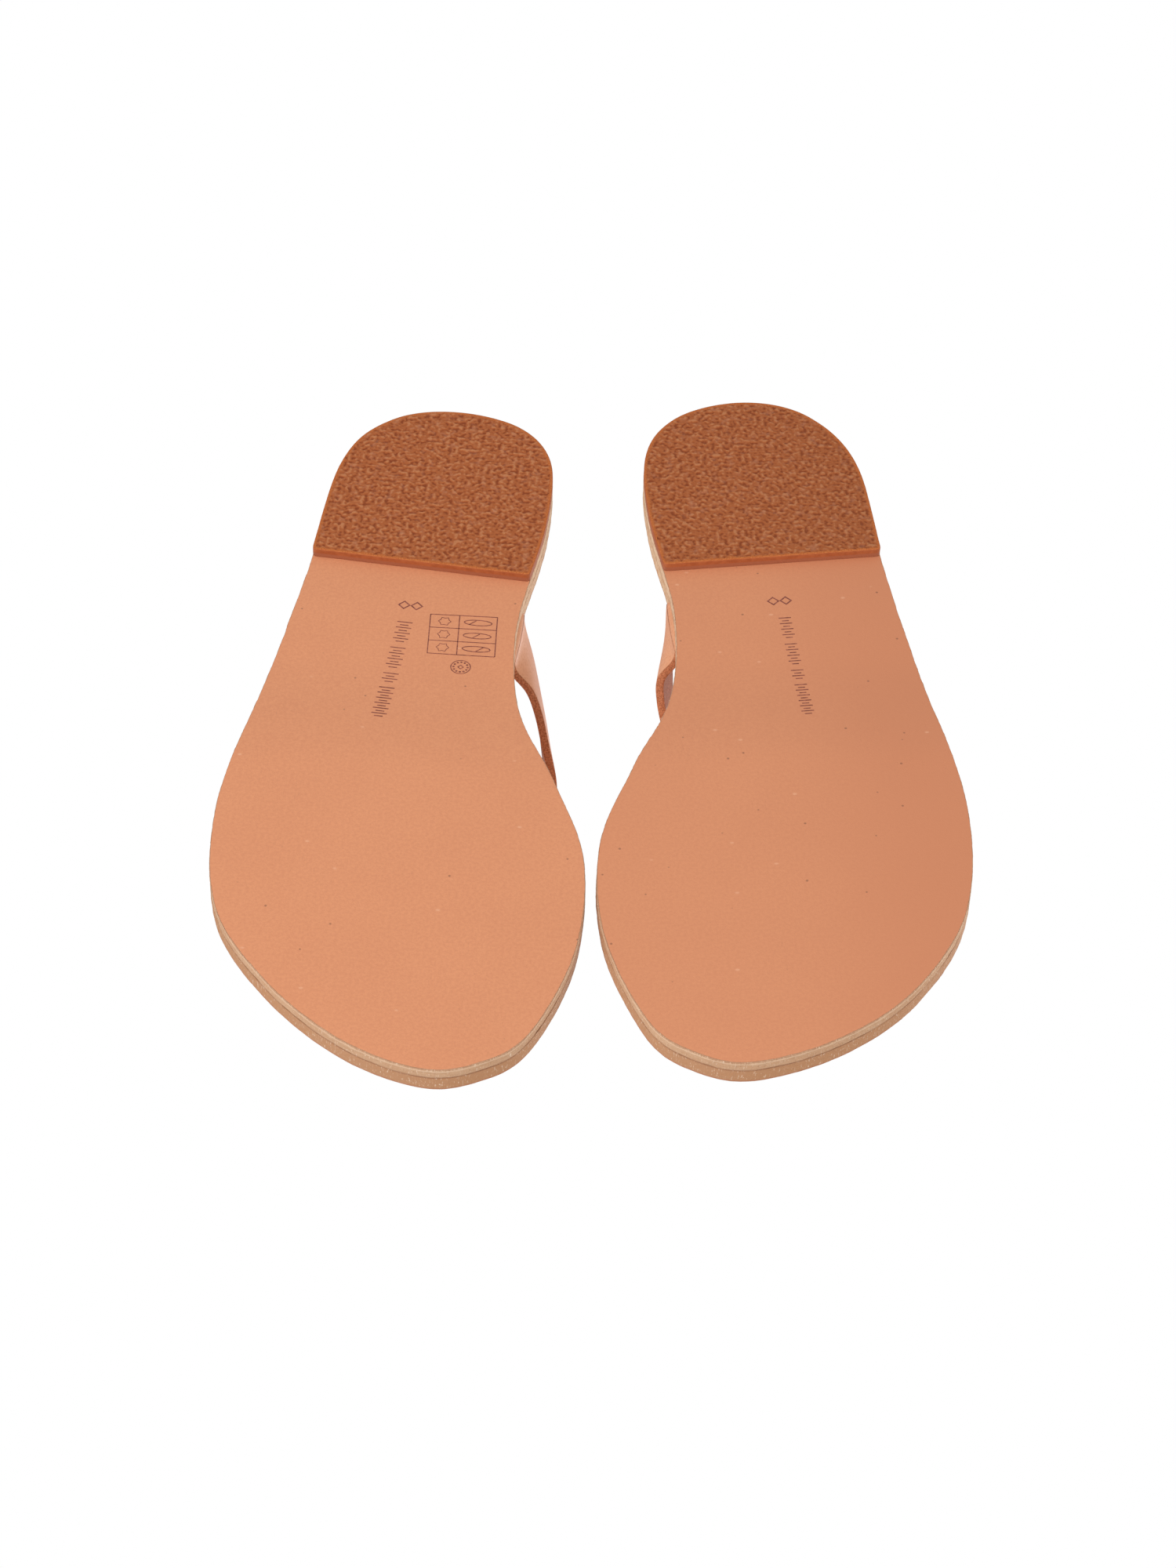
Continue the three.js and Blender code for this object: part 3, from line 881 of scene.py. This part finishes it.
# the row of bars from end to end, where the two lozenges stand, and half a long bar's length
MARK_ROWS = {
    "left": (np.array([-3.6, 90.3]), np.array([-5.9, 129.9]), np.array([-2.9, 82.7]), 2.1),
    "right": (np.array([-3.2, 90.5]), np.array([-5.5, 130.8]), np.array([-2.4, 82.8]), 1.7),
}
GRID = np.array([[[3.0, 85.6], [21.3, 84.9]], [[3.9, 101.4], [22.2, 101.0]]])
GRID_DIVIDER = 0.436
STAMP_AT, STAMP_RADIUS = (13.5, 106.0), 2.65


def build_marks(sandal, material):
    """Stamped marks without letters or numbers: a row of long and short bars, two lozenges, and on
    the left sandal a ruled grid of simple shapes and a round stamp."""
    points, faces = [], []
    start, end, lozenges_at, bar = MARK_ROWS[sandal.name]
    along = unit((end - start)[None])[0]
    across = np.array([-along[1], along[0]])
    room = sum(BAR_GROUPS) + GROUP_GAP * (len(BAR_GROUPS) - 1) - END_TRIM
    pitch = np.linalg.norm(end - start) / room
    at = 0.0
    for group in BAR_GROUPS:
        for _ in range(group):
            for shift, reach in ((-BAR_SHIFT, bar), (BAR_SHIFT, SHORT_BAR * bar)):
                centre = start + along * (at + shift)
                line = [centre - across * reach, centre, centre + across * reach]
                stroke(points, faces, line, BAR_LINE)
            at += pitch
        at += GROUP_GAP * pitch
    for k in (-1, 1):
        centre = lozenges_at + np.array([1.75 * k, 0.05 * k])
        stroke(points, faces, circle(centre, 1.5, 4), BOLD_LINE, closed=True)
    if sandal.name == "left":
        def grid(i, j):
            low = GRID[0, 0] * (1 - i) + GRID[0, 1] * i
            high = GRID[1, 0] * (1 - i) + GRID[1, 1] * i
            return low * (1 - j) + high * j

        for j in (0, 1 / 3, 2 / 3, 1):
            stroke(points, faces, [grid(0, j), grid(0.5, j), grid(1, j)], FRAME_LINE)
        for i in (0, GRID_DIVIDER, 1):
            stroke(points, faces, [grid(i, 0), grid(i, 0.5), grid(i, 1)], FRAME_LINE)
        for j in range(3):
            middle = grid(GRID_DIVIDER / 2, (j + 0.5) / 3)
            star = circle((0, 0), STAR, 12) * np.where(np.arange(12) % 2, STAR_NOTCH, 1)[:, None]
            stroke(points, faces, middle + star, FINE_LINE, closed=True)
            middle = grid((1 + GRID_DIVIDER) / 2, (j + 0.5) / 3)
            slim = circle((0, 0), 1, 20) * SLIM_LOOP
            stroke(points, faces, middle + slim, SHAPE_LINE, closed=True)
            slash = [middle + (1.2 * j - 2.4, 0.9), middle + (1.2 * j - 0.6, -0.8)]
            stroke(points, faces, slash, SHAPE_LINE)
        stroke(points, faces, circle(STAMP_AT, STAMP_RADIUS, 36), FINE_LINE, closed=True)
        for dot in circle(STAMP_AT, 0.73 * STAMP_RADIUS, 12):
            stroke(points, faces, circle(dot, 0.2, 6), 0.25, closed=True)
        stroke(points, faces, circle(STAMP_AT, 0.75, 4), SHAPE_LINE, closed=True)
    made = piece(sandal, "sole_marks", np.array(points), faces, material)
    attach(made, sandal.rear)


# ---- materials ----
def cut_edge_color(g, pale, tan, toe_share):
    """Fibres of a cut sole edge: streaks along it, fine ticks across it, tanner towards the toe."""
    streak = g.noise(1.0, 4, 0.65, vector=g.stretched((0.3, 0.3, 3.0)))
    tick = g.noise(1.0, 3, 0.65, vector=g.stretched((2.6, 2.6, 0.8)))
    patches = g.noise(1 / 14, 3, 0.6)
    ahead = g.between(g.separate(g.place, 1), 118, 190)
    tanned = g.math("ADD", g.math("MULTIPLY", ahead, toe_share), g.math("MULTIPLY", patches, 0.5))
    color = g.mix(g.between(tanned, 0.2, 1.1), pale, tan)
    color = g.mix(g.between(streak, 0.62, 0.3), color, tan)
    color = g.mix(g.math("MULTIPLY", g.between(tick, 0.56, 0.74), 0.7), color, srgb(244, 222, 198))
    color = g.mix(g.math("MULTIPLY", g.between(tick, 0.42, 0.28), 0.6), color, srgb(168, 122, 90))
    return color, g.math("ADD", streak, tick), tick


def outsole_leather():
    g = Graph("outsole_leather", Specular_IOR_Level=0.3)
    cloud = g.noise(1 / 26, 4, 0.6)
    fine = g.noise(1.9, 4, 0.65)
    tiny = g.noise(5.0, 2, 0.6)
    base = g.mix(g.between(cloud, 0.3, 0.7), srgb(216, 144, 104), srgb(220, 148, 107))
    base = g.mix(g.math("MULTIPLY", g.between(fine, 0.4, 0.8), 0.8), base, srgb(208, 135, 97))
    base = g.mix(g.math("MULTIPLY", g.between(tiny, 0.55, 0.8), 0.5), base, srgb(228, 162, 124))
    mottled = g.mix(g.between(g.noise(1.1, 3, 0.65), 0.35, 0.65), srgb(225, 153, 111), srgb(208, 135, 98))
    base = g.mix(0.36, base, mottled)
    # painted shade: the right sole is darkened towards its outer side, for the key light's falloff
    base = g.mix(g.math("MULTIPLY", g.attribute("tone"), 0.85), base, srgb(206, 133, 96))
    specks = g.between(g.cells(0.13), 0.06, 0.03)
    base = g.mix(g.math("MULTIPLY", specks, 0.55), base, srgb(112, 74, 58))
    pale_specks = g.between(g.cells(0.11, vector=g.stretched((0.8, 1.2, 1.0))), 0.07, 0.03)
    base = g.mix(g.math("MULTIPLY", pale_specks, 0.4), base, srgb(238, 184, 150))
    scratch_zone = g.between(g.noise(1 / 30, 2, 0.5), 0.56, 0.66)
    scratch = g.noise(1.0, 2, 0.5, vector=g.stretched((1.1, 0.09, 1.0)), distortion=0.4)
    off_line = g.math("ABSOLUTE", g.math("SUBTRACT", scratch, 0.5))
    scratch = g.math("MULTIPLY", g.between(off_line, 0.006, 0.0), scratch_zone)
    base = g.mix(g.math("MULTIPLY", scratch, 0.3), base, srgb(168, 108, 80))
    band, wall = g.attribute("band"), g.attribute("wall")
    edge, fibres, tick = cut_edge_color(g, srgb(230, 200, 168), srgb(196, 150, 114), 0.6)
    from_corner = g.math("ADD", band, g.math("MULTIPLY", tick, 0.3))
    glue = g.between(from_corner, 1.0, 1.2)
    edge = g.mix(g.math("MULTIPLY", glue, 0.6), edge, srgb(158, 108, 76))
    lint = g.math("MULTIPLY", g.between(from_corner, 0.22, 0.3), g.between(from_corner, 0.5, 0.36))
    edge = g.mix(g.math("MULTIPLY", lint, 0.5), edge, srgb(236, 202, 170))
    edge = g.mix(g.math("MULTIPLY", g.between(from_corner, 0.22, 0.12), 0.6), edge, srgb(176, 128, 100))
    on_wall = g.between(wall, 0.35, 0.7)
    color = g.mix(on_wall, base, edge)
    grain = g.math("ADD", g.math("MULTIPLY", g.cells(1.7, "DISTANCE_TO_EDGE"), 0.8), fine)
    normal = g.bump(grain, 0.07, strength=0.5)
    normal = g.bump(g.math("MULTIPLY", fibres, on_wall), 0.22, normal, 0.8)
    roughness = g.lerp(on_wall, g.lerp(fine, 0.5, 0.66), 0.85)
    return g.finish(color, roughness, normal)


def footbed_leather():
    g = Graph("footbed_leather", Specular_IOR_Level=0.4)
    cloud = g.noise(1 / 30, 4, 0.6)
    fine = g.noise(1.3, 4, 0.6)
    tiny = g.noise(4.5, 2, 0.6)
    base = g.mix(g.between(cloud, 0.3, 0.7), srgb(214, 150, 113), srgb(224, 163, 126))
    base = g.mix(g.between(fine, 0.4, 0.8), base, srgb(207, 141, 103))
    base = g.mix(g.math("MULTIPLY", g.between(tiny, 0.55, 0.8), 0.5), base, srgb(232, 178, 144))
    band, wall = g.attribute("band"), g.attribute("wall")
    edge, fibres, tick = cut_edge_color(g, srgb(226, 192, 156), srgb(184, 132, 92), 0.9)
    edge = g.mix(g.between(band, 0.85, 1.0), edge, srgb(178, 120, 84))
    glue = g.between(g.math("ADD", band, g.math("MULTIPLY", tick, 0.1)), 0.12, 0.04)
    edge = g.mix(g.math("MULTIPLY", glue, 0.6), edge, srgb(152, 104, 74))
    on_wall = g.between(wall, 0.3, 0.7)
    color = g.mix(on_wall, base, edge)
    pores = g.cells(1.5, "DISTANCE_TO_EDGE")
    normal = g.bump(g.math("ADD", pores, fine), 0.07, strength=0.45)
    normal = g.bump(g.math("MULTIPLY", fibres, on_wall), 0.15, normal, 0.7)
    roughness = g.lerp(on_wall, g.lerp(fine, 0.42, 0.58), 0.75)
    return g.finish(color, roughness, normal)


def strap_leather():
    g = Graph("strap_leather", Specular_IOR_Level=0.4)
    side = g.attribute("side")
    smooth_side = g.between(side, 0.62, 0.9)
    cloud = g.noise(1 / 18, 4, 0.6)
    fine = g.noise(1.5, 4, 0.6)
    grain_side = g.mix(g.between(cloud, 0.3, 0.7), srgb(222, 156, 116), srgb(229, 167, 128))
    grain_side = g.mix(g.between(fine, 0.4, 0.75), grain_side, srgb(214, 146, 106))
    nap = g.noise(2.2, 5, 0.7, distortion=0.6)
    suede = g.mix(g.between(nap, 0.3, 0.7), srgb(152, 100, 82), srgb(196, 140, 118))
    edge = g.mix(g.between(nap, 0.32, 0.68), srgb(158, 86, 50), srgb(218, 140, 98))
    color = g.mix(smooth_side, edge, grain_side)
    color = g.mix(g.between(side, 0.38, 0.1), color, suede)
    pores = g.cells(1.6, "DISTANCE_TO_EDGE")
    normal = g.bump(g.math("ADD", pores, fine), 0.06, strength=0.4)
    rough_part = g.math("SUBTRACT", 1.0, smooth_side)
    normal = g.bump(g.math("MULTIPLY", nap, rough_part), 0.35, normal, 1.0)
    roughness = g.lerp(smooth_side, 0.92, g.lerp(fine, 0.42, 0.58))
    return g.finish(color, roughness, normal)


def heel_rubber():
    g = Graph("heel_rubber", Specular_IOR_Level=0.3)
    grain, rough, band = g.attribute("grain"), g.attribute("rough"), g.attribute("band")
    wall = g.attribute("wall")
    fine = g.noise(2.6, 3, 0.6)
    # painted shade and highlight: darker where the crepe's grain is low, in its pits, and lighter on its
    # peaks
    pit_shade_and_peak_highlight = g.math("ADD", grain, g.math("MULTIPLY", g.math("SUBTRACT", fine, 0.5), 0.7))
    color = g.mix(g.between(pit_shade_and_peak_highlight, 0.15, 0.5), srgb(138, 64, 24), srgb(167, 90, 45))
    color = g.mix(g.between(pit_shade_and_peak_highlight, 0.6, 1.0), color, srgb(186, 118, 75))
    # painted highlight: greyish patches lightening the rubber
    grey_highlight = g.between(g.noise(1 / 2.5, 3, 0.6), 0.5, 0.75)
    color = g.mix(g.math("MULTIPLY", grey_highlight, 0.4), color, srgb(180, 124, 96))
    # painted shade: the right pad is darkened towards its outer side, for the key light's falloff
    color = g.mix(g.math("MULTIPLY", g.attribute("tone"), 0.14), color, srgb(120, 66, 30))
    rim = g.mix(g.between(fine, 0.35, 0.7), srgb(174, 88, 36), srgb(196, 116, 60))
    color = g.mix(rough, rim, color)
    moulded = g.mix(g.between(g.noise(0.6, 3), 0.3, 0.7), srgb(160, 82, 42), srgb(174, 94, 52))
    moulded = g.mix(g.between(band, 0.35, 0.65), moulded, srgb(162, 94, 64))
    color = g.mix(g.between(wall, 0.55, 1.0), color, moulded)
    normal = g.bump(fine, 0.12, strength=0.6)
    roughness = g.lerp(rough, 0.7, g.lerp(fine, 0.5, 0.8))
    return g.finish(color, roughness, normal)


def stamp_ink():
    g = Graph("stamp_ink", Specular_IOR_Level=0.2)
    worn = g.noise(1.1, 3, 0.6)
    color = g.mix(g.between(worn, 0.3, 0.75), srgb(110, 60, 54), srgb(172, 106, 86))
    return g.finish(color, g.lerp(worn, 0.6, 0.8), g.bump(worn, 0.05, strength=0.3))


MATERIALS = {make.__name__: make() for make in
             (outsole_leather, footbed_leather, strap_leather, heel_rubber, stamp_ink)}

for pair_side in SANDALS:
    build_outsole(pair_side, MATERIALS["outsole_leather"])
    build_footbed(pair_side, MATERIALS["footbed_leather"])
    build_heel_pad(pair_side, MATERIALS["heel_rubber"])
    build_strap(pair_side, MATERIALS["strap_leather"])
    build_toe_loop(pair_side, MATERIALS["strap_leather"])
    build_marks(pair_side, MATERIALS["stamp_ink"])


# ---- floor, light and background ----
FLOOR_GAP = 0.0002              # clear of the sole's lowest face, in metres like all places below


def make_floor():
    """A pale floor, seen only from above, with a painted glow that grows away from its middle: the camera
    looks at the soles from below it.
    """
    bm = bmesh.new()
    bmesh.ops.create_grid(bm, x_segments=1, y_segments=1, size=3.0)
    mesh = bpy.data.meshes.new("floor")
    bm.to_mesh(mesh)
    bm.free()
    floor = bpy.data.objects.new("floor", mesh)
    floor.location.z = -FLOOR_GAP
    bpy.context.scene.collection.objects.link(floor)
    g = Graph("floor_paper", Base_Color=srgb(238, 236, 233), Roughness=0.9, Specular_IOR_Level=0.1,
              Emission_Color=(1, 1, 1, 1))
    # painted light: the floor glows white, more the further it lies from the middle, fading it into the
    # white background
    away = g.add("ShaderNodeVectorMath", operation="LENGTH")
    g.feed(away.inputs[0], g.add("ShaderNodeTexCoord").outputs["Object"])
    g.feed(g.shader.inputs["Emission Strength"], g.between(away.outputs["Value"], 0.2, 1.0))
    mixer = g.add("ShaderNodeMixShader")
    g.feed(mixer.inputs[0], g.add("ShaderNodeNewGeometry").outputs["Backfacing"])
    g.feed(mixer.inputs[1], g.shader.outputs[0])
    g.feed(mixer.inputs[2], g.add("ShaderNodeBsdfTransparent").outputs[0])
    g.feed(g.tree.nodes["Material Output"].inputs["Surface"], mixer.outputs[0])
    mesh.materials.append(g.material)
    floor.visible_diffuse = floor.visible_glossy = False
    floor.visible_transmission = floor.visible_shadow = False


def soft_light(name, place, size, power):
    data = bpy.data.lights.new(name, "AREA")
    data.size, data.energy = size, power
    light = bpy.data.objects.new(name, data)
    light.location = place
    light.rotation_euler = (-Vector(place)).to_track_quat("-Z", "Y").to_euler()
    bpy.context.scene.collection.objects.link(light)


def make_world(seen, ambient):
    """White where the camera sees it, softer as a light."""
    world = bpy.data.worlds.new("studio")
    world.use_nodes = True
    tree = world.node_tree
    background = tree.nodes["Background"]
    background.inputs["Color"].default_value = (1, 1, 1, 1)
    path = tree.nodes.new("ShaderNodeLightPath")
    strength = tree.nodes.new("ShaderNodeMix")
    strength.inputs[2].default_value = ambient
    strength.inputs[3].default_value = seen
    tree.links.new(path.outputs["Is Camera Ray"], strength.inputs[0])
    tree.links.new(strength.outputs[0], background.inputs["Strength"])
    bpy.context.scene.world = world


make_floor()
make_world(seen=1.0, ambient=0.54)
soft_light("key_below", (0.85, -0.7, -0.98), 0.9, 14.2)
soft_light("side_below", (-1.3, -0.6, -0.3), 0.7, 8)
soft_light("key_above", (0.5, -0.45, 1.6), 1.2, 16)
soft_light("fill_above", (-1.0, 0.8, 1.3), 1.4, 12)
bpy.context.scene.view_settings.view_transform = "Standard"
